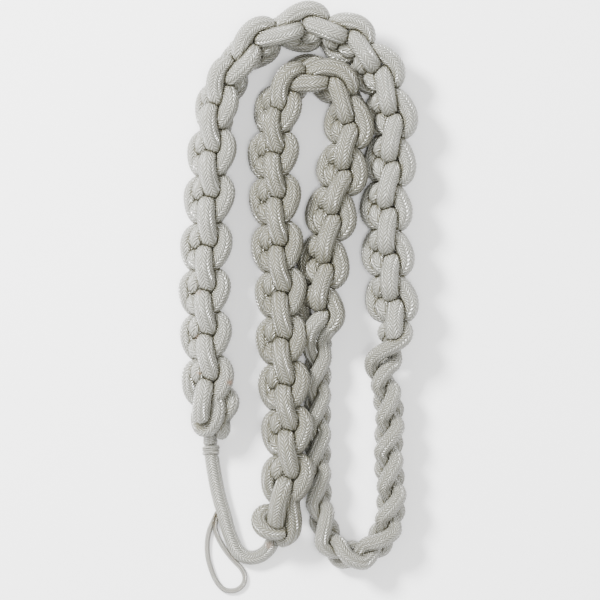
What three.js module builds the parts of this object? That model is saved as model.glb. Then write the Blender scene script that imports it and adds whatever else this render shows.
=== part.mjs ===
import * as THREE from 'three';

// Aiguillette laid flat, millimetres, +Z up from the table.
// X runs across the loop and Y along it, origin under the middle of the laid cord.

// driving sizes
const pitch = 14.7;            // length of one knot of the chains
const strandRadius = 1.55;     // firm core of the soft 5.2 mm cord
const strandSides = 5;
const joiningCordRadius = 2.4;
const joiningCordSides = 8;
const loopBandWidth = 1.8;
const loopBandThickness = 1.2;
const bindingRadius = 3.4;
const bindingWall = 0.6;
const bindingLength = 2.6;

// one knot of a strand of the chain: across, along (in pitches), up, from the middle of the chain
const knot = [
  { across: -3.5, along: 0.53, up: 6.5 },
  { across: -3.7, along: 0.72, up: 6.4 },
  { across: -2.8, along: 0.90, up: 3.9 },
  { across: -1.1, along: 0.90, up: 1.8 },
  { across: 4.2, along: 0.78, up: 0.6 },
  { across: 4.6, along: 0.72, up: 0.2 },
  { across: 1.8, along: 0.60, up: -1.9 },
  { across: 0.2, along: 0.61, up: -5.3 },
  { across: -3.6, along: 0.74, up: -6.1 },
  { across: -4.8, along: 1.02, up: -4.8 },
  { across: -4.3, along: 1.28, up: -4.7 },
  { across: -1.6, along: 1.37, up: -3.4 },
  { across: 4.0, along: 1.29, up: -1.2 },
  { across: 4.8, along: 1.26, up: -0.1 },
  { across: 3.2, along: 1.13, up: 1.9 },
  { across: -2.0, along: 1.20, up: 4.9 },
];

// middle line of each chain: knot number, place, height and roll of the chain about its own line
const outerLine = [
  { n: -1, x: -30.2, y: -41.7, z: 8.7, roll: 27 },
  { n: 0, x: -29.8, y: -27.3, z: 8.7, roll: 27 },
  { n: 1, x: -30.2, y: -12.3, z: 8.7, roll: 27 },
  { n: 2, x: -30.7, y: 2.3, z: 8.7, roll: 27 },
  { n: 3, x: -30.2, y: 17.0, z: 8.7, roll: 27 },
  { n: 4, x: -29.2, y: 33.3, z: 8.7, roll: 25 },
  { n: 5, x: -28.3, y: 48.3, z: 8.6, roll: 20 },
  { n: 6, x: -26.5, y: 64.0, z: 8.3, roll: 8 },
  { n: 6.5, x: -24.3, y: 71.2, z: 7.7, roll: 0 },
  { n: 7.5, x: -14.2, y: 84.6, z: 8.5, roll: -10 },
  { n: 8.5, x: 1.5, y: 90.7, z: 8.8, roll: -20 },
  { n: 9.5, x: 16.0, y: 87.4, z: 8.7, roll: -27 },
  { n: 10.5, x: 26.2, y: 77.0, z: 8.7, roll: -27 },
  { n: 11.5, x: 31.2, y: 62.3, z: 8.7, roll: -27 },
  { n: 12.5, x: 31.0, y: 46.7, z: 8.7, roll: -27 },
  { n: 13.5, x: 29.7, y: 31.3, z: 8.7, roll: -27 },
  { n: 14.5, x: 30.2, y: 16.0, z: 8.7, roll: -27 },
  { n: 15.5, x: 31.5, y: 0.7, z: 8.7, roll: -27 },
  { n: 16.5, x: 33.2, y: -14.0, z: 8.7, roll: -27 },
];
const innerLine = [
  { n: -1, x: -9.5, y: -88.0, z: 8.9, roll: 27 },
  { n: 0, x: -6.8, y: -74.0, z: 9.1, roll: 27 },
  { n: 1, x: -3.4, y: -59.7, z: 10.5, roll: 27 },
  { n: 2, x: -3.2, y: -44.0, z: 10.9, roll: 27 },
  { n: 3, x: -4.2, y: -29.0, z: 10.9, roll: 27 },
  { n: 4, x: -5.0, y: -13.7, z: 10.5, roll: 27 },
  { n: 5, x: -5.3, y: 1.7, z: 9.1, roll: 27 },
  { n: 6, x: -6.5, y: 17.0, z: 8.7, roll: 27 },
  { n: 7, x: -7.2, y: 33.0, z: 8.7, roll: 27 },
  { n: 8, x: -7.8, y: 48.0, z: 8.7, roll: 26 },
  { n: 9, x: -6.4, y: 62.5, z: 8.5, roll: 15 },
  { n: 9.5, x: -3.6, y: 70.0, z: 8.3, roll: 8 },
  { n: 10, x: 2.6, y: 75.0, z: 8.0, roll: 2 },
  { n: 10.5, x: 10.6, y: 73.8, z: 8.2, roll: -6 },
  { n: 11, x: 16.0, y: 67.6, z: 8.5, roll: -14 },
  { n: 11.5, x: 17.4, y: 59.4, z: 8.6, roll: -20 },
  { n: 12.5, x: 15.3, y: 44.0, z: 8.7, roll: -27 },
  { n: 13.5, x: 11.6, y: 29.3, z: 8.7, roll: -27 },
  { n: 14.5, x: 9.0, y: 13.0, z: 8.7, roll: -27 },
  { n: 15.5, x: 7.4, y: -2.7, z: 9.1, roll: -27 },
  { n: 16.5, x: 7.4, y: -17.0, z: 9.3, roll: -27 },
];

// middle line of the plait under the arm, with the spread of its strands up and across,
// and the length in which a strand comes back to its place
const plaitLine = [
  { x: 32.8, y: -16.4, z: 7.4, up: 4.2, across: 2.8, period: 34 },
  { x: 29.6, y: -21.6, z: 7.0, up: 4.6, across: 2.8, period: 34 },
  { x: 29.6, y: -29.0, z: 7.0, up: 5.0, across: 2.9, period: 34 },
  { x: 31.0, y: -38.3, z: 7.0, up: 5.0, across: 2.9, period: 34 },
  { x: 30.6, y: -53.0, z: 7.0, up: 5.0, across: 2.9, period: 34 },
  { x: 31.6, y: -65.0, z: 7.0, up: 5.0, across: 2.9, period: 34 },
  { x: 30.3, y: -75.4, z: 7.0, up: 5.0, across: 2.9, period: 34 },
  { x: 25.6, y: -82.6, z: 7.0, up: 5.0, across: 2.9, period: 36 },
  { x: 18.4, y: -85.4, z: 7.0, up: 5.0, across: 2.9, period: 36 },
  { x: 12.2, y: -82.6, z: 6.8, up: 4.6, across: 2.8, period: 36 },
  { x: 9.4, y: -76.0, z: 6.2, up: 4.2, across: 2.5, period: 39 },
  { x: 7.4, y: -66.7, z: 5.8, up: 4.2, across: 2.4, period: 39 },
  { x: 7.0, y: -53.3, z: 5.8, up: 4.2, across: 2.4, period: 39 },
  { x: 7.0, y: -38.3, z: 5.8, up: 4.2, across: 2.4, period: 39 },
  { x: 7.1, y: -25.0, z: 5.8, up: 4.2, across: 2.4, period: 39 },
  { x: 7.6, y: -17.0, z: 5.8, up: 4.2, across: 2.4, period: 39 },
  { x: 8.0, y: -12.6, z: 6.2, up: 4.2, across: 2.4, period: 39 },
];

// joining cord, button loop and the turned ends of the chains, hand-laid routes
const joiningCord = [
  [-28.9, -46.6, 4.6], [-28.6, -50.3, 3.6], [-27.3, -59.3, 2.4], [-25.8, -66.3, 2.4], [-24.2, -71.7, 2.4],
  [-22.5, -78.0, 2.4], [-19.5, -84.3, 2.4], [-15.4, -86.2, 2.4], [-11.4, -85.0, 2.5], [-7.3, -81.3, 3.0],
];
const buttonLoop = [
  [-28.0, -73.4], [-29.3, -77.6], [-30.0, -82.0], [-29.7, -86.7], [-28.3, -92.0], [-26.3, -95.6], [-23.7, -97.4],
  [-20.6, -97.2], [-17.8, -95.4], [-17.4, -92.6], [-18.6, -89.9], [-21.2, -87.5], [-24.0, -83.4], [-25.6, -79.2],
  [-26.2, -76.4],
];
const outerEndHook = [
  [-26.5, -33.9, 12.4], [-26.3, -37.7, 12.6], [-27.4, -41.2, 12.0], [-29.5, -43.4, 10.6], [-31.8, -43.0, 8.6],
  [-32.8, -40.3, 6.4], [-32.8, -37.4, 5.0],
];
const outerEndTuck = [
  [-22.9, -31.1, 6.1], [-21.5, -33.3, 7.2], [-21.7, -36.0, 7.8], [-23.3, -38.8, 7.2], [-24.6, -41.4, 6.8],
  [-24.8, -44.2, 6.4],
];
const innerEndTurn = [
  [-1.3, -68.3, 13.5], [-0.6, -71.3, 12.8], [-0.6, -74.7, 11.8], [-1.7, -78.0, 10.4], [-3.8, -80.3, 8.2],
  [-6.5, -80.9, 5.6],
];
const innerEndBand = [
  [-4.0, -76.8, 9.6], [-7.8, -77.7, 10.4], [-10.8, -77.0, 10.2], [-12.3, -74.7, 9.2], [-12.2, -71.7, 8.6],
  [-10.2, -69.3, 8.0], [-7.5, -68.3, 7.2],
];

const white = { color: 0xd9d6cc, roughness: 0.75, metalness: 0 };

// A route through hand-set points, so that a swept section has one ring at each point.
class Route extends THREE.Curve {
  constructor(points) { super(); this.points = points; }
  getPoint(t) {
    const last = this.points.length - 1;
    const i = Math.min(Math.floor(t * last + 1e-9), last - 1);
    return this.points[i].clone().lerp(this.points[i + 1], t * last - i);
  }
  getPointAt(t) { return this.getPoint(t); }
  getTangentAt(t) {
    const last = this.points.length - 1;
    const i = Math.round(t * last);
    const before = this.points[Math.max(i - 1, 0)];
    const after = this.points[Math.min(i + 1, last)];
    const here = this.points[i];
    const arriving = here.clone().sub(before).normalize();
    const leaving = after.clone().sub(here).normalize();
    return arriving.add(leaving).normalize();
  }
}

// The values of a table at a place n along it, eased between its rows like a bent cord.
function alongTable(rows, n) {
  const last = rows.length - 1;
  let i = 0;
  while (i < last - 1 && rows[i + 1].n <= n) i += 1;
  const a = rows[i], b = rows[i + 1];
  const before = rows[Math.max(i - 1, 0)], after = rows[Math.min(i + 2, last)];
  const span = b.n - a.n;
  const f = (n - a.n) / span;
  const out = {};
  for (const key of Object.keys(a)) {
    const slopeA = (b[key] - before[key]) / (b.n - before.n) * span;
    const slopeB = (after[key] - a[key]) / (after.n - a.n) * span;
    out[key] = a[key] * (1 + 2 * f) * (1 - f) ** 2 + slopeA * f * (1 - f) ** 2
      + b[key] * f * f * (3 - 2 * f) + slopeB * f * f * (f - 1);
  }
  return out;
}

function numbered(rows) {
  return rows.map((row, n) => ({ n, ...row }));
}

function placeOnChain(line, across, n, up) {
  const here = alongTable(line, n);
  const back = alongTable(line, n - 0.01);
  const ahead = alongTable(line, n + 0.01);
  const dx = ahead.x - back.x, dy = ahead.y - back.y;
  const length = Math.hypot(dx, dy);
  const roll = here.roll * Math.PI / 180;
  const side = across * Math.cos(roll) + up * Math.sin(roll);
  const height = here.z - across * Math.sin(roll) + up * Math.cos(roll);
  return new THREE.Vector3(here.x + side * dy / length, here.y - side * dx / length, height);
}

// One of the two strands of a chain: the second is the first mirrored and half a knot further on.
// Its first and last knots can be short of some turns, where the strand leaves the chain.
function chainStrand(line, second, firstKnot, lastKnot, skipped, cut) {
  const points = [];
  for (let n = firstKnot; n <= lastKnot; n += 1) {
    for (const row of knot) {
      const across = second ? -row.across : row.across;
      const along = n + row.along + (second ? 0.5 : 0);
      points.push(placeOnChain(line, across, along, row.up));
    }
  }
  return points.slice(skipped, points.length - cut);
}

function plaitStrand(line, number) {
  const rows = numbered(line);
  const points = [];
  const step = 1 / 40;
  let turns = number / 3, nextPoint = turns;
  for (let n = 0; n <= line.length - 1; n += step) {
    const here = alongTable(rows, n);
    const ahead = alongTable(rows, n + step);
    const dx = ahead.x - here.x, dy = ahead.y - here.y;
    const length = Math.hypot(dx, dy);
    if (turns >= nextPoint - 1e-9) {
      const phase = 2 * Math.PI * turns;
      const across = -here.across * Math.sin(2 * phase);
      points.push(new THREE.Vector3(
        here.x + across * dy / length,
        here.y - across * dx / length,
        here.z + here.up * Math.sin(phase)));
      nextPoint += 1 / 10;
    }
    turns += length / here.period;
  }
  return points;
}

// The place just short of another strand's end, coming from a point.
function broughtUpTo(point, end) {
  const back = point.clone().sub(end).normalize().multiplyScalar(2 * strandRadius + 0.35);
  return end.clone().add(back);
}

function roundSection(radius, sides) {
  const shape = new THREE.Shape();
  for (let i = 0; i < sides; i += 1) {
    const a = 2 * Math.PI * (i + 0.5) / sides;
    if (i === 0) shape.moveTo(radius * Math.cos(a), radius * Math.sin(a));
    else shape.lineTo(radius * Math.cos(a), radius * Math.sin(a));
  }
  shape.closePath();
  return shape;
}

function swept(name, section, points) {
  const route = new Route(points);
  const geometry = new THREE.ExtrudeGeometry(section, {
    steps: points.length - 1, extrudePath: route, bevelEnabled: false, curveSegments: 1,
  });
  const mesh = new THREE.Mesh(geometry, new THREE.MeshStandardMaterial(white));
  mesh.name = name;
  return mesh;
}

// Points of a hand-laid route, eased to a number of steps between each two.
function eased(list, between) {
  const rows = numbered(list.map(([x, y, z]) => ({ x, y, z })));
  const points = [];
  for (let i = 0; i <= (rows.length - 1) * between; i += 1) {
    const p = alongTable(rows, i / between);
    points.push(new THREE.Vector3(p.x, p.y, p.z));
  }
  return points;
}

const part = new THREE.Group();
part.name = 'aiguillette';
const strand = roundSection(strandRadius, strandSides);

// two chains, each worked with two strands of the same cord
const worked = {
  outerFirst: chainStrand(outerLine, false, -2, 15, 15, 0),
  outerSecond: chainStrand(outerLine, true, -2, 15, 14, 14),
  innerFirst: chainStrand(innerLine, false, -1, 15, 14, 12),
  innerSecond: chainStrand(innerLine, true, -1, 14, 14, 7),
};
part.add(swept('outer_chain_first_strand', strand, worked.outerFirst));
part.add(swept('outer_chain_second_strand', strand, worked.outerSecond));
part.add(swept('inner_chain_first_strand', strand, worked.innerFirst));
part.add(swept('inner_chain_second_strand', strand, worked.innerSecond));

// plait of three strands under the arm
const plaited = [0, 1, 2].map((number) => plaitStrand(plaitLine, number));
plaited[1].unshift(broughtUpTo(plaited[1][0], worked.outerFirst.at(-1)));
plaited[1].push(broughtUpTo(plaited[1].at(-1), worked.innerFirst.at(-1)));
plaited.forEach((points, number) => {
  part.add(swept(`underarm_plait_strand_${number + 1}`, strand, points));
});

// turned ends of the chains
part.add(swept('outer_end_hook', strand, eased(outerEndHook, 2)));
part.add(swept('outer_end_tuck', strand, eased(outerEndTuck, 2)));
part.add(swept('inner_end_turn', strand, eased(innerEndTurn, 2)));
part.add(swept('inner_end_band', strand, eased(innerEndBand, 2)));

// cord that joins the two ends, with its binding
const joining = eased(joiningCord, 2);
part.add(swept('joining_cord', roundSection(joiningCordRadius, joiningCordSides), joining));
const collar = roundSection(bindingRadius, joiningCordSides);
collar.holes.push(roundSection(bindingRadius - bindingWall, joiningCordSides));
const collarMiddle = joining[2];
const collarWay = joining[3].clone().sub(joining[1]).normalize().multiplyScalar(bindingLength / 2);
part.add(swept('neck_binding', collar, [collarMiddle.clone().sub(collarWay), collarMiddle.clone().add(collarWay)]));

// flat braid button loop, lying on the table
const band = new THREE.Shape();
band.moveTo(-loopBandThickness / 2, -loopBandWidth / 2);
band.lineTo(loopBandThickness / 2, -loopBandWidth / 2);
band.lineTo(loopBandThickness / 2, loopBandWidth / 2);
band.lineTo(-loopBandThickness / 2, loopBandWidth / 2);
band.closePath();
part.add(swept('button_loop', band, eased(buttonLoop.map(([x, y]) => [x, y, loopBandThickness / 2]), 3)));

// the origin goes under the middle of the whole
const middle = { x: 0.43, y: -0.25 };
for (const mesh of part.children) mesh.geometry.translate(-middle.x, -middle.y, 0);

export default part;
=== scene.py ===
import math

import bpy
import numpy as np
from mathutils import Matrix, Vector, kdtree


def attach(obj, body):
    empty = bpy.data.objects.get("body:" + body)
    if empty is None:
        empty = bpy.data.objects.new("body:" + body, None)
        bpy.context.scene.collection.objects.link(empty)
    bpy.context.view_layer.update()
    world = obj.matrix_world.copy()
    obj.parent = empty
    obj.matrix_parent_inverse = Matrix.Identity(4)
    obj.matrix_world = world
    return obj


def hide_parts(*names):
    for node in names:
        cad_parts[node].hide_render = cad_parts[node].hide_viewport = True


# Camera. It looks straight down on the laid cord from 1.5 m, as the photograph does, with
# the photograph's 200 mm square of table filling the frame.
camera_height = 1.5
table_width = 0.2
sensor_width = 36
camera_data = bpy.data.cameras.new("camera")
camera_data.sensor_width = sensor_width
camera_data.lens = sensor_width * camera_height / table_width
camera = bpy.data.objects.new("camera", camera_data)
camera.location = (0.0007, 0.0002, camera_height + 0.006)
bpy.context.scene.collection.objects.link(camera)
bpy.context.scene.camera = camera

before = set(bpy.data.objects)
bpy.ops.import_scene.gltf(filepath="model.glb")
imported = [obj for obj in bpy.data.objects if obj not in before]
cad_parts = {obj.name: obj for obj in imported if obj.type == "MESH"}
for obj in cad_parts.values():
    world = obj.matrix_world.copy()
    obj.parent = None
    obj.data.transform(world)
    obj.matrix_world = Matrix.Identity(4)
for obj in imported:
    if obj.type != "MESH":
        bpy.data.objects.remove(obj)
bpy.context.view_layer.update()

# Table. A pale plain sheet that the cord lies on. A window at the upper left lights it, with
# a wide lamp overhead, a weak one at the right and an even white room.
table_reach = 2
table_corners = [(-table_reach, -table_reach, 0), (table_reach, -table_reach, 0),
                 (table_reach, table_reach, 0), (-table_reach, table_reach, 0)]
table_mesh = bpy.data.meshes.new("table")
table_mesh.from_pydata(table_corners, [], [(0, 1, 2, 3)])
table = bpy.data.objects.new("table", table_mesh)
bpy.context.scene.collection.objects.link(table)
table_paint = bpy.data.materials.new("table")
table_paint.use_nodes = True
table_shader = table_paint.node_tree.nodes["Principled BSDF"]
table_shader.inputs["Base Color"].default_value = (0.96, 0.96, 0.96, 1)
table_shader.inputs["Roughness"].default_value = 0.9
table_mesh.materials.append(table_paint)


def soft_light(name, place, width, power):
    """A square lamp that faces the middle of the table."""
    data = bpy.data.lights.new(name, "AREA")
    data.shape = "SQUARE"
    data.size = width
    data.energy = power
    light = bpy.data.objects.new(name, data)
    light.location = place
    light.rotation_euler = (-Vector(place)).to_track_quat("-Z", "Y").to_euler()
    bpy.context.scene.collection.objects.link(light)


soft_light("window", (-0.6, 0.5, 0.75), 0.25, 42)
soft_light("overhead", (0.1, -0.1, 1.9), 0.5, 30)
soft_light("fill", (0.8, 0.1, 0.7), 0.9, 2)
room = bpy.data.worlds.new("room")
room.use_nodes = True
room.node_tree.nodes["Background"].inputs["Color"].default_value = (1, 1, 1, 1)
room.node_tree.nodes["Background"].inputs["Strength"].default_value = 1.28
bpy.context.scene.world = room

# Outer chain. Two strands of silky braided cord, knotted round each other into a chain: up the
# left side, over the wide bend and down the right side. The second strand is the first one
# mirrored, half a knot further on. Routes and sizes of all the cords are in millimetres.
MM = 0.001
cord_radius = 3.05
knot_length = 14.7
knot_of_first_strand = [
    # across, along in knots, up
    (-3.0, 0.48, 6.2),
    (-4.0, 0.63, 6.7),
    (-3.3, 0.78, 5.9),
    (-2.3, 0.90, 3.9),
    (-0.6, 0.90, 1.8),
    (4.2, 0.76, 0.6),
    (4.6, 0.70, 0.0),
    (1.8, 0.60, -1.9),
    (0.2, 0.61, -4.9),
    (-2.8, 0.74, -5.0),
    (-3.7, 1.02, -3.6),
    (-3.2, 1.28, -4.0),
    (-1.2, 1.37, -3.2),
    (4.0, 1.32, -1.2),
    (4.8, 1.29, -0.1),
    (3.2, 1.16, 1.9),
    (-1.6, 1.16, 4.4),
]
outer_line = [
    # knot, x, y, z, roll in degrees
    (-1, -33.8, -42.9, 8.7, 27),
    (0, -29.8, -27.3, 8.7, 27),
    (1, -30.2, -12.3, 8.7, 27),
    (2, -30.7, 2.3, 8.7, 27),
    (3, -30.2, 17.0, 8.7, 27),
    (4, -29.2, 33.3, 8.7, 25),
    (5, -28.3, 48.3, 8.6, 20),
    (6, -26.5, 64.0, 8.3, 8),
    (6.5, -24.3, 71.2, 7.7, 0),
    (7.5, -14.2, 84.6, 8.5, -10),
    (8.5, 1.5, 90.7, 8.8, -20),
    (9.5, 16.0, 87.4, 8.7, -27),
    (10.5, 26.2, 77.0, 8.7, -27),
    (11.5, 31.2, 62.3, 8.7, -27),
    (12.5, 31.0, 46.7, 8.7, -27),
    (13.5, 29.7, 31.3, 8.7, -27),
    (14.5, 30.2, 16.0, 8.7, -27),
    (15.5, 31.5, 0.7, 8.7, -27),
    (16.5, 33.2, -14.0, 8.7, -27),
]
# the second strand ends in the hook under the last bar, the first in the tuck at its right
outer_end_hook = [
    # x, y, z
    (-26.5, -33.9, 12.4),
    (-26.3, -37.4, 12.6),
    (-27.6, -40.6, 12.2),
    (-29.4, -42.6, 11.2),
    (-31.5, -42.4, 9.4),
    (-32.2, -39.9, 7.2),
    (-32.0, -37.0, 5.4),
]
outer_end_tuck = [
    # x, y, z
    (-24.3, -31.0, 8.0),
    (-21.9, -33.0, 9.6),
    (-22.4, -35.8, 10.2),
    (-24.6, -38.4, 9.6),
    (-25.4, -40.6, 9.2),
    (-24.7, -43.0, 8.6),
    (-26.6, -44.6, 6.8),
]
steps_between_rows = 6
steps_between_points = 8


def along_table(rows, n):
    """The values of a table at a place n along it, eased between its rows like a bent cord."""
    rows = np.asarray(rows, float)
    i = int(np.clip(np.searchsorted(rows[:, 0], n, side="right") - 1, 0, len(rows) - 2))
    a, b = rows[i], rows[i + 1]
    before, after = rows[max(i - 1, 0)], rows[min(i + 2, len(rows) - 1)]
    span = b[0] - a[0]
    f = (n - a[0]) / span
    slope_a = (b - before) / (b[0] - before[0]) * span
    slope_b = (after - a) / (after[0] - a[0]) * span
    return (a * (1 + 2 * f) * (1 - f) ** 2 + slope_a * f * (1 - f) ** 2
            + b * f * f * (3 - 2 * f) + slope_b * f * f * (f - 1))[1:]


def eased(points, between):
    """A smooth route through given points, with a number of steps between each two."""
    numbered = [(n, *point) for n, point in enumerate(points)]
    return [along_table(numbered, i / between) for i in range((len(points) - 1) * between + 1)]


def run_along(points):
    """How far along a route each of its points lies."""
    return np.concatenate([[0], np.cumsum(np.linalg.norm(np.diff(points, axis=0), axis=1))])


def drawn_tight(knot, rounds, touching):
    """One knot of the first strand as close places, once its bends have evened out and turns
    nearer to each other than touching have pushed each other away."""
    evening = 0.5
    pushing = 0.12
    firm_touch = 6
    next_on_cord = 15
    one_knot = np.array((0, knot_length, 0))
    three_knots = [(across, along + n, up) for n in range(3) for across, along, up in knot]
    count = len(knot) * steps_between_rows
    cord = np.array(eased(three_knots, steps_between_rows))[count:2 * count]
    cord = cord * (1, knot_length, 1) - one_knot
    index = np.arange(count)
    for _ in range(rounds):
        before = np.concatenate([cord[-1:] - one_knot, cord[:-1]])
        after = np.concatenate([cord[1:], cord[:1] + one_knot])
        pull = (before + after) / 2 - cord
        push = np.zeros_like(cord)
        weight = np.zeros(count)
        for shift in (-2, -1, 0, 1, 2):
            for second in (False, True):
                other = cord * (-1, 1, 1) + one_knot / 2 if second else cord
                other = other + one_knot * shift
                between = cord[:, None] - other[None]
                apart = np.linalg.norm(between, axis=2)
                if not second:
                    away = np.abs(index[None] + shift * count - index[:, None]) > next_on_cord
                    apart = np.where(away, apart, np.inf)
                near = np.clip(touching - apart, 0, None)
                push += (near[:, :, None] * between / np.maximum(apart, 0.1)[:, :, None]).sum(axis=1)
                weight += near.sum(axis=1)
        push = push / np.maximum(weight, 1e-6)[:, None]
        push = push * np.minimum(weight / firm_touch, 1)[:, None]
        cord = cord + evening * pull + pushing * push
    return cord / (1, knot_length, 1)


knot = drawn_tight(knot_of_first_strand, rounds=60, touching=4.3)


def place_on_chain(line, across, n, up):
    """A place beside the middle of a chain n knots along it, turned by the chain's roll there."""
    x, y, z, roll = along_table(line, n)
    back, ahead = along_table(line, n - 0.01), along_table(line, n + 0.01)
    way = (ahead - back)[:2] / np.linalg.norm((ahead - back)[:2])
    roll = math.radians(roll)
    side = across * math.cos(roll) + up * math.sin(roll)
    height = z - across * math.sin(roll) + up * math.cos(roll)
    return (x + side * way[1], y - side * way[0], height)


def chain_strand(line, second, knots, skipped, cut):
    """The route of one strand of a chain over its knots, from the first to the last. Some rows
    of the first knot are skipped and some of the last are cut off."""
    turns = []
    for n in range(knots[0], knots[1] + 1):
        for across, along, up in knot:
            turns.append((-across if second else across, n + along + (0.5 if second else 0), up))
    turns = turns[skipped * steps_between_rows:len(turns) - cut * steps_between_rows]
    return [place_on_chain(line, *turn) for turn in turns]


# the tables' middle lies this far from the part's own
middle_x = 0.43
middle_y = -0.25
above_table = 0.05
# a closed end is rounded over so many rings, and a thinner cord swells to the chains' own
# over this length where it runs on into them
rounded_rings = 4
swelling_length = 9
laid_cords = {}


def directions_round(centre):
    """At each ring of a cord, two directions square to the cord that don't twist round it."""
    way = np.gradient(centre, axis=0)
    way /= np.linalg.norm(way, axis=1)[:, None]
    start = np.array((0, 0, 1.0)) if abs(way[0, 2]) < 0.9 else np.array((1.0, 0, 0))
    normal = np.zeros_like(way)
    normal[0] = start - way[0] * np.dot(start, way[0])
    normal[0] /= np.linalg.norm(normal[0])
    for i in range(1, len(way)):
        turned = normal[i - 1] - way[i] * np.dot(normal[i - 1], way[i])
        normal[i] = turned / np.linalg.norm(turned)
    return normal, np.cross(way, normal)


def skin_mesh(name, skin, ring_step):
    """A smooth mesh over the rings of a cord, with a map for the braid, along the cord and
    round it, and two places to paint: painted shade mixed with soiling in the folds, and stains."""
    rings = skin.shape[0] - 1
    sides = skin.shape[1]
    count = (rings + 1) * sides
    ring, side = np.meshgrid(np.arange(rings), np.arange(sides), indexing="ij")
    this = ring * sides + side
    that = ring * sides + (side + 1) % sides
    faces = np.stack([this, that, that + sides, this + sides], axis=-1).reshape(-1, 4)
    caps = [list(range(sides))[::-1], list(range(count - sides, count))]
    mesh = bpy.data.meshes.new(name)
    mesh.from_pydata((skin.reshape(-1, 3) * MM).tolist(), [], faces.tolist() + caps)
    corner_ring = np.stack([ring, ring, ring + 1, ring + 1], axis=-1)
    corner_side = np.stack([side, side + 1, side + 1, side], axis=-1)
    braid_map = np.stack([corner_ring * ring_step, corner_side / sides], axis=-1).reshape(-1)
    corners_of_caps = np.zeros(4 * sides)
    uv = mesh.uv_layers.new(name="braid")
    uv.data.foreach_set("uv", np.concatenate([braid_map, corners_of_caps]))
    mesh.polygons.foreach_set("use_smooth", [True] * len(mesh.polygons))
    mesh.color_attributes.new("fold", "FLOAT_COLOR", "POINT")
    mesh.color_attributes.new("stain", "FLOAT_COLOR", "POINT")
    return mesh


# a cord's folds get painted shade mixed with dirt, scaled by one argument; the other sets a least amount
# of darkening all over the cord, soiling and painted shade
def lay_cord(name, route, radius, ring_step=0.425, sides=16, relief=0.03, easing=14,
             closed=(True, True), least_shade_and_soiling=0, fold_shade_and_soiling=1):
    """Sweeps a round braided cord along a route. Every second place round and along stands a
    little proud, as the strands of the braid do. A closed end is rounded off, and one that
    isn't runs on into the next cord."""
    route = np.asarray(route, float) - (middle_x, middle_y, 0)
    run = run_along(route)
    rings = max(int(run[-1] / ring_step), 4)
    at = np.linspace(0, run[-1], rings + 1)
    centre = np.stack([np.interp(at, run, route[:, k]) for k in range(3)], axis=1)
    for _ in range(easing):
        centre[1:-1] = (centre[:-2] + 2 * centre[1:-1] + centre[2:]) / 4
    proud = np.where((np.arange(rings + 1)[:, None] + np.arange(sides)[None]) % 2 == 0, 1, -1)
    reach = radius * (1 + relief * proud)
    from_start = np.arange(rings + 1)
    from_end = np.arange(rings, -1, -1)
    to_closed = np.minimum(from_start if closed[0] else rings + from_start,
                           from_end if closed[1] else rings + from_end)
    reach = reach * np.sqrt(1 - (1 - np.clip(to_closed / rounded_rings, 0, 1)) ** 2 * 0.9)[:, None]
    if not any(closed):
        to_chain = np.minimum(from_start, from_end) * ring_step
        swelling = (cord_radius / radius - 1) * np.clip(1 - to_chain / swelling_length, 0, 1)
        reach = reach * (1 + swelling)[:, None]
    normal, across = directions_round(centre)
    angle = 2 * math.pi * np.arange(sides) / sides
    skin = (centre[:, None]
            + (reach * np.cos(angle))[:, :, None] * normal[:, None]
            + (reach * np.sin(angle))[:, :, None] * across[:, None])
    skin[:, :, 2] = np.maximum(skin[:, :, 2], above_table)
    cord = bpy.data.objects.new(name, skin_mesh(name, skin, ring_step))
    bpy.context.scene.collection.objects.link(cord)
    laid_cords[name] = {
        "cord": cord,
        "centre": centre,
        "skin": skin,
        "step": ring_step,
        "radius": radius,
        "least_shade_and_soiling": least_shade_and_soiling,
        "fold_shade_and_soiling": fold_shade_and_soiling,
    }
    return cord


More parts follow.
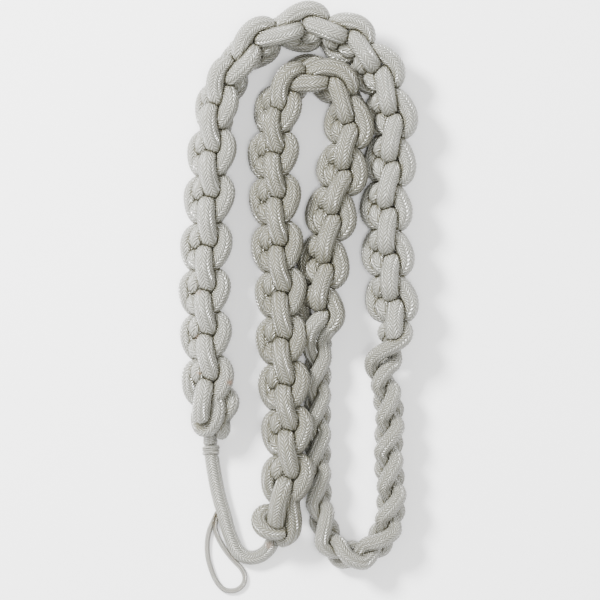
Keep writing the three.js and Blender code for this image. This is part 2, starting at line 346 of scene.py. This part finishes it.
def braided(name, clean, shade_and_dirt, pick, columns):
    """Silky braided thread: slanting floats in columns that lean left and right by turns, in the cord's
    own colour on the outside of the turns, with painted shade mixed with patchy dirt in the folds,
    painted shade between the threads, and stains."""
    slant = 1.3
    stagger = 0.25
    rounding = 3.2
    thread_depth = 0.0005
    shade_between_threads = 0.66
    patch_scale = 90
    brown = (0.24, 0.1, 0.04, 1)
    material = bpy.data.materials.new(name)
    material.use_nodes = True
    nodes = material.node_tree.nodes
    links = material.node_tree.links
    shader = nodes["Principled BSDF"]
    shader.inputs["Roughness"].default_value = 0.22
    shader.inputs["Specular IOR Level"].default_value = 1

    def work_out(operation, a, b=None):
        node = nodes.new("ShaderNodeMath")
        node.operation = operation
        for socket, value in zip(node.inputs, (a, b)):
            if isinstance(value, (int, float)):
                socket.default_value = value
            elif value is not None:
                links.new(value, socket)
        return node.outputs[0]

    uv = nodes.new("ShaderNodeUVMap")
    uv.uv_map = "braid"
    split = nodes.new("ShaderNodeSeparateXYZ")
    links.new(uv.outputs[0], split.inputs[0])
    column = work_out("MULTIPLY", split.outputs[1], columns)
    inside = work_out("SUBTRACT", work_out("FRACT", column), 0.5)
    odd = work_out("MODULO", work_out("FLOOR", column), 2)
    leaning = work_out("SUBTRACT", work_out("MULTIPLY", odd, 2), 1)
    slanting = work_out("MULTIPLY", inside, work_out("MULTIPLY", leaning, slant))
    pace = work_out("ADD", work_out("DIVIDE", split.outputs[0], pick), slanting)
    pace = work_out("ADD", pace, work_out("MULTIPLY", leaning, stagger))
    thread = work_out("ABSOLUTE", work_out("SINE", work_out("MULTIPLY", pace, math.pi)))
    dip = work_out("MULTIPLY", work_out("MULTIPLY", inside, inside), rounding)
    height = work_out("MULTIPLY", thread, work_out("SUBTRACT", 1, dip))
    bump = nodes.new("ShaderNodeBump")
    bump.inputs["Strength"].default_value = 1
    bump.inputs["Distance"].default_value = thread_depth
    links.new(height, bump.inputs["Height"])
    links.new(bump.outputs[0], shader.inputs["Normal"])

    fold = nodes.new("ShaderNodeAttribute")
    fold.attribute_name = "fold"
    place = nodes.new("ShaderNodeTexCoord")
    patches = nodes.new("ShaderNodeTexNoise")
    patches.inputs["Scale"].default_value = patch_scale
    patches.inputs["Detail"].default_value = 3
    links.new(place.outputs["Object"], patches.inputs["Vector"])
    # painted shade in the creases where cords touch, made patchy by the noise as dirt
    crease_shade_and_grime = work_out("MULTIPLY", fold.outputs["Fac"], work_out("ADD", patches.outputs["Fac"], 0.35))
    # painted shade in the grooves between the threads
    between = work_out("MULTIPLY", work_out("SUBTRACT", 1, height), shade_between_threads)
    # the ramp runs from the cord's own colour to the colour of painted shade and dirt
    ramp = nodes.new("ShaderNodeValToRGB")
    ramp.color_ramp.elements[0].color = (*clean, 1)
    ramp.color_ramp.elements[1].color = (*shade_and_dirt, 1)
    links.new(work_out("ADD", crease_shade_and_grime, between), ramp.inputs["Fac"])
    stain = nodes.new("ShaderNodeAttribute")
    stain.attribute_name = "stain"
    stained = nodes.new("ShaderNodeMixRGB")
    stained.inputs["Color2"].default_value = brown
    links.new(stain.outputs["Fac"], stained.inputs["Fac"])
    links.new(ramp.outputs[0], stained.inputs["Color1"])
    links.new(stained.outputs[0], shader.inputs["Base Color"])
    return material


def dress(cord, material, slot, *nodes):
    """Gives a cord its thread, hangs it under the root body and hides the solids it stands for."""
    cord.data.materials.append(material)
    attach(cord, "root")
    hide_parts(*nodes)


white_cord = braided("white cord", (0.31, 0.31, 0.278), (0.11, 0.103, 0.068), pick=1.0, columns=12)
runs_on = (True, False)
outer_first = chain_strand(outer_line, second=False, knots=(-2, 15), skipped=16, cut=1)
outer_second = chain_strand(outer_line, second=True, knots=(-2, 15), skipped=16, cut=14)
outer_second = eased(outer_end_hook[::-1], steps_between_points) + outer_second
first_strand = lay_cord("outer_chain_first_strand", outer_first, cord_radius, closed=runs_on)
dress(first_strand, white_cord, "knotted_cord", "outer_chain_first_strand")
second_strand = lay_cord("outer_chain_second_strand", outer_second, cord_radius, closed=runs_on)
dress(second_strand, white_cord, "knotted_cord", "outer_chain_second_strand", "outer_end_hook")
tuck = lay_cord("outer_end_tuck", eased(outer_end_tuck, steps_between_points), cord_radius)
dress(tuck, white_cord, "knotted_cord", "outer_end_tuck")

# Inner chain. The same cord, duller, more soiled and darkened with painted shade, knotted the same
# way: up beside the outer chain, over a tight bend and down as far as the end of the plait. At its
# lower end the second strand comes down as a turn, and a band of the cord holds the last bar.
inner_shade_and_soiling = 0.42
inner_line = [
    # knot, x, y, z, roll in degrees
    (-1, -13.5, -88.4, 8.9, 27),
    (0, -9.2, -75.2, 9.1, 27),
    (1, -3.4, -59.7, 10.5, 27),
    (2, -3.2, -44.0, 10.9, 27),
    (3, -4.2, -29.0, 10.9, 27),
    (4, -5.0, -13.7, 10.5, 27),
    (5, -5.3, 1.7, 9.1, 27),
    (6, -6.5, 17.0, 8.7, 27),
    (7, -7.2, 33.0, 8.7, 27),
    (8, -7.8, 48.0, 8.7, 26),
    (9, -6.4, 62.5, 8.5, 15),
    (9.5, -3.6, 70.0, 8.3, 8),
    (10, 2.6, 75.0, 8.0, 2),
    (10.5, 10.6, 73.8, 8.2, -6),
    (11, 16.0, 67.6, 8.5, -14),
    (11.5, 17.4, 59.4, 8.6, -20),
    (12.5, 15.3, 44.0, 8.7, -27),
    (13.5, 11.6, 29.3, 8.7, -27),
    (14.5, 9.0, 13.0, 8.7, -27),
    (15.5, 7.4, -2.7, 9.1, -27),
    (16.5, 7.4, -17.0, 9.3, -27),
]
inner_bar_end = [
    # x, y, z
    (-7.4, -77.6, 6.8),
    (-7.2, -76.0, 10.0),
]
inner_end_turn = [
    # x, y, z
    (-2.0, -68.3, 13.5),
    (-1.4, -71.3, 12.8),
    (-1.2, -74.2, 12.0),
    (-1.6, -76.9, 10.8),
    (-3.2, -78.7, 8.8),
    (-6.2, -79.8, 6.2),
]
inner_end_band = [
    # x, y, z
    (-3.0, -76.4, 9.4),
    (-6.2, -76.8, 11.6),
    (-9.4, -76.7, 12.2),
    (-11.8, -74.9, 11.2),
    (-12.0, -72.0, 9.8),
    (-9.6, -70.6, 8.6),
    (-7.4, -72.4, 7.4),
]
inner_first = chain_strand(inner_line, second=False, knots=(-1, 15), skipped=16, cut=14)
inner_first = eased(inner_bar_end + inner_first[:1], steps_between_rows)[:-1] + inner_first
inner_second = chain_strand(inner_line, second=True, knots=(-1, 15), skipped=16, cut=18)
inner_second = eased(inner_end_turn[::-1], steps_between_points) + inner_second
first_strand = lay_cord("inner_chain_first_strand", inner_first, cord_radius, closed=runs_on,
                        least_shade_and_soiling=inner_shade_and_soiling)
dress(first_strand, white_cord, "knotted_cord", "inner_chain_first_strand")
second_strand = lay_cord("inner_chain_second_strand", inner_second, cord_radius, closed=runs_on,
                         least_shade_and_soiling=inner_shade_and_soiling)
dress(second_strand, white_cord, "knotted_cord", "inner_chain_second_strand", "inner_end_turn")
band = lay_cord("inner_end_band", eased(inner_end_band, steps_between_points), cord_radius,
                least_shade_and_soiling=inner_shade_and_soiling)
dress(band, white_cord, "knotted_cord", "inner_end_band")

# Underarm plait. Three strands of the cord, drawn thinner, plaited flat and lying on edge, from
# the outer chain's end down, round the bottom and up to the inner chain's end. Two of them are
# the chains' own strands running on.
plait_radius = 2.55
plait_soiling = 0.2
steps_in_plait_row = 24
route_step = 0.5
plait_line = [
    # x, y, z, spread of the strands up, spread across, length in which a strand comes back
    (32.8, -16.4, 7.4, 4.2, 2.8, 34),
    (29.6, -21.6, 7.0, 4.6, 2.8, 34),
    (29.6, -29.0, 7.0, 5.0, 2.9, 34),
    (31.0, -38.3, 7.0, 5.0, 2.9, 34),
    (30.6, -53.0, 7.0, 5.0, 2.9, 34),
    (31.6, -65.0, 7.0, 5.0, 2.9, 34),
    (30.3, -75.4, 7.0, 5.0, 2.9, 34),
    (25.6, -82.6, 7.0, 5.0, 2.9, 39.5),
    (18.4, -85.4, 7.0, 5.0, 2.9, 39.5),
    (12.2, -82.6, 6.8, 4.6, 2.8, 39.5),
    (9.4, -76.0, 6.2, 4.2, 2.5, 39),
    (7.4, -66.7, 5.8, 4.2, 2.4, 39),
    (7.0, -53.3, 5.8, 4.2, 2.4, 39),
    (7.0, -38.3, 5.8, 4.2, 2.4, 39),
    (7.1, -25.0, 5.8, 4.2, 2.4, 39),
    (7.6, -17.0, 5.8, 4.2, 2.4, 39),
    (8.0, -12.6, 6.2, 4.2, 2.4, 39),
]
# places between the chains' last turns and the plait, x, y, z
under_last_bar = [(31.2, -13.4, 10.8)]
round_last_bar = [(36.1, -10.5, 13.2), (35.2, -13.0, 14.4), (31.4, -15.4, 14.8), (27.4, -17.6, 13.8),
                  (25.1, -20.0, 11.8), (25.6, -23.6, 8.4)]
up_to_inner_bar = [(5.2, -18.2, 8.0), (3.9, -14.6, 11.0), (4.4, -10.8, 13.6), (6.4, -7.6, 14.4)]
up_to_inner_arc = [(8.9, -16.2, 8.2), (8.4, -13.4, 9.0), (9.8, -10.4, 10.6)]


def plait_strand(number, start, end):
    """The route of a strand of the plait, from a length after the plait's start to a length
    before its end."""
    line = np.array(eased(plait_line, steps_in_plait_row))
    step = np.linalg.norm(np.diff(line[:, :2], axis=0), axis=1)
    run = np.concatenate([[0], np.cumsum(step)])
    turns = number / 3 + np.concatenate([[0], np.cumsum(step / line[:-1, 5])])
    way = np.gradient(line[:, :2], axis=0)
    way /= np.linalg.norm(way, axis=1)[:, None]
    across = -line[:, 4] * (2 / math.pi) * np.arcsin(np.sin(4 * math.pi * turns))
    up = line[:, 3] * np.sin(2 * math.pi * turns)
    strand = np.stack([line[:, 0] + across * way[:, 1], line[:, 1] - across * way[:, 0],
                       line[:, 2] + up], axis=1)
    return list(strand[(run >= start) & (run <= run[-1] - end)])


def spread_evenly(points):
    """A smooth route through points at uneven distances."""
    points = np.array(points, float)
    run = run_along(points)
    rows = np.column_stack([run, points])
    return [along_table(rows, at) for at in np.arange(0, run[-1], route_step)]


plait_routes = [
    # whether it runs on from the chains, route
    (True, outer_second[-2:] + under_last_bar + plait_strand(0, start=2, end=9)
     + up_to_inner_bar + inner_second[:-3:-1]),
    (True, outer_first[-2:] + round_last_bar + plait_strand(1, start=12, end=7)
     + up_to_inner_arc + inner_first[:-3:-1]),
    (False, plait_strand(2, start=0, end=0)),
]
for number, (from_chains, route) in enumerate(plait_routes):
    name = f"underarm_plait_strand_{number + 1}"
    strand = lay_cord(name, spread_evenly(route), plait_radius,
                      closed=(not from_chains, not from_chains), least_shade_and_soiling=plait_soiling)
    dress(strand, white_cord, "plaited_cord", name)

# Joining cord. A single cord served with wound thread all along. It leaves the hook and the
# tuck of the outer chain and runs round to the band of the inner chain, which holds its end.
joining_radius = 2.4
joining_route = [
    # x, y, z
    (-28.2, -43.6, 8.0),
    (-28.8, -47.2, 5.0),
    (-28.6, -50.6, 3.6),
    (-27.3, -59.3, 2.4),
    (-25.8, -66.3, 2.4),
    (-24.2, -71.7, 2.4),
    (-22.5, -78.0, 2.4),
    (-19.5, -84.3, 2.4),
    (-15.4, -86.2, 2.4),
    (-11.6, -85.2, 2.6),
    (-8.9, -82.6, 3.8),
    (-8.0, -79.8, 6.0),
]
served_thread = braided("served cord", (0.315, 0.314, 0.282), (0.11, 0.103, 0.068), pick=0.95, columns=8)
joining_cord = lay_cord("joining_cord", eased(joining_route, steps_between_points), joining_radius,
                        ring_step=0.35, relief=0.02, fold_shade_and_soiling=0.1)
dress(joining_cord, served_thread, "served_cord", "joining_cord")

# Neck binding. A few turns of thicker thread, wound by hand and a little unevenly round the
# joining cord just below the outer chain.
binding_middle = (-28.6, -50.3, 3.6)
binding_length = 2.6
binding_turns = 4
steps_in_turn = 24
binding_thread_radius = 0.45
binding_route = []
for i in range(binding_turns * steps_in_turn + 1):
    turn = 2 * math.pi * i / steps_in_turn
    down = binding_length * (i / (binding_turns * steps_in_turn) - 0.5) - 0.3 * math.sin(turn * 1.3)
    wound = joining_radius + 0.05 + 0.12 * math.sin(turn * 2.3)
    on_ring = np.array((wound * math.cos(turn), -down, wound * math.sin(turn)))
    binding_route.append(np.array(binding_middle) + on_ring)
wound_thread = braided("wound thread", (0.5, 0.495, 0.45), (0.2, 0.19, 0.14), pick=0.7, columns=4)
neck_binding = lay_cord("neck_binding", binding_route, binding_thread_radius,
                        ring_step=0.3, sides=10, relief=0, easing=1, fold_shade_and_soiling=0.1)
dress(neck_binding, wound_thread, "served_cord", "neck_binding")

# Button loop. A narrow braid, bent double and sewn by both ends to the side of the joining
# cord. It lies on the table.
loop_radius = 0.85
loop_height = 0.9
loop_route = [
    # x, y
    (-26.3, -70.6),
    (-27.8, -73.9),
    (-29.2, -77.2),
    (-29.9, -81.4),
    (-29.7, -86.0),
    (-28.5, -90.4),
    (-26.8, -94.2),
    (-24.2, -96.9),
    (-20.6, -97.2),
    (-18.0, -95.4),
    (-17.3, -92.6),
    (-18.6, -89.7),
    (-21.4, -86.8),
    (-24.2, -83.2),
    (-26.4, -79.2),
    (-27.3, -75.6),
    (-26.6, -71.8),
]
loop_braid = braided("loop braid", (0.42, 0.415, 0.38), (0.12, 0.1, 0.06), pick=0.7, columns=6)
loop_places = eased([(x, y, loop_height) for x, y in loop_route], steps_between_points)
button_loop = lay_cord("button_loop", loop_places, loop_radius,
                       ring_step=0.2, sides=12, relief=0.06, easing=6)
dress(button_loop, loop_braid, "loop_braid", "button_loop")

# Pressing, painted shade and soiling. Soft cords that touch both give way to the plane half way
# between their middles. The folds that this makes get painted shade mixed with dirt, and there are
# five brown marks.
farthest_touch = 3.4
seam_gap = 0.06
flattest = 0.25
fold_width = 1.0
stains = [
    # x, y, width, depth
    (-22.4, -27.2, 1.3, 0.6),
    (-33.0, -23.8, 0.5, 0.9),
    (-9.6, -81.6, 1.8, 0.35),
    (-33.6, -12.2, 0.9, 0.4),
    (-33.0, 2.6, 0.9, 0.4),
]
strands_running_on = [
    # from the outer chain, through the plait, to the inner chain
    ("outer_chain_first_strand", "underarm_plait_strand_2", "inner_chain_first_strand"),
    ("outer_chain_second_strand", "underarm_plait_strand_1", "inner_chain_second_strand"),
]
for number, laid in enumerate(laid_cords.values()):
    laid["thread"] = number
    laid["along"] = np.arange(len(laid["centre"])) * laid["step"]
for names in strands_running_on:
    in_outer, in_plait, in_inner = [laid_cords[name] for name in names]
    in_outer["thread"] = in_plait["thread"]
    in_inner["thread"] = in_plait["thread"]
    in_outer["along"] = in_outer["along"] - in_outer["along"][-1]
    in_inner["along"] = in_plait["along"][-1] + in_inner["along"][-1] - in_inner["along"]
every_centre = np.concatenate([laid["centre"] for laid in laid_cords.values()])
every_along = np.concatenate([laid["along"] for laid in laid_cords.values()])
ring_counts = [(laid, len(laid["centre"])) for laid in laid_cords.values()]
every_radius = np.concatenate([np.full(rings, laid["radius"]) for laid, rings in ring_counts])
every_thread = np.concatenate([np.full(rings, laid["thread"]) for laid, rings in ring_counts])
tree = kdtree.KDTree(len(every_centre))
for i, point in enumerate(every_centre):
    tree.insert(point, i)
tree.balance()


def press(laid):
    """Presses a cord's rings against the turns round them. Says how deep in a fold each place
    lies, from 0 to 1."""
    fold = np.zeros(laid["skin"].shape[:2])
    for i, point in enumerate(laid["centre"]):
        near = np.array([hit[1] for hit in tree.find_range(point, laid["radius"] + farthest_touch)])
        along_thread = np.abs(every_along[near] - laid["along"][i])
        own = (every_thread[near] == laid["thread"]) & (along_thread < 4 * laid["radius"])
        near = near[~own]
        if not len(near):
            continue
        to_other = every_centre[near] - point
        apart = np.linalg.norm(to_other, axis=1)
        arm = laid["skin"][i] - point
        share = laid["radius"] / (laid["radius"] + every_radius[near])
        reach = arm @ to_other.T
        limit = (apart ** 2 * share - seam_gap * apart)[None] / np.maximum(reach, 1e-6)
        limit = np.where(reach > 0, limit, np.inf).min(axis=1)
        laid["skin"][i] = point + arm * np.clip(limit, flattest, 1)[:, None]
        to_others = np.linalg.norm(laid["skin"][i][:, None] - every_centre[near][None], axis=2)
        gap = (to_others - every_radius[near]).min(axis=1)
        fold[i] = np.clip(1 - gap / fold_width, 0, 1) ** 1.5
    laid["skin"][:, :, 2] = np.maximum(laid["skin"][:, :, 2], above_table)
    return fold


def stained(skin):
    """How stained each place is, from 0 to 1: full over the middle of a mark, none past its width."""
    mark = np.zeros(skin.shape[:2])
    for x, y, width, depth in stains:
        off = np.hypot(skin[:, :, 0] - x, skin[:, :, 1] - y)
        mark = np.maximum(mark, depth * np.clip(1.6 - off / width * 1.6, 0, 1))
    return mark


def paint(mesh, attribute, depth):
    """Sets how strong the painted shade and soiling, or the stain, is at each place of a cord's mesh."""
    colour = np.repeat(depth.reshape(-1, 1), 4, axis=1)
    colour[:, 3] = 1
    mesh.color_attributes[attribute].data.foreach_set("color", colour.reshape(-1))


for laid in laid_cords.values():
    fold = press(laid)
    mesh = laid["cord"].data
    mesh.vertices.foreach_set("co", (laid["skin"] * MM).reshape(-1))
    # the fold colour is painted shade in the creases mixed with dirt, with a least amount all over some
    # cords
    paint(mesh, "fold", np.maximum(fold * laid["fold_shade_and_soiling"], laid["least_shade_and_soiling"]))
    paint(mesh, "stain", stained(laid["skin"]))
    mesh.update()
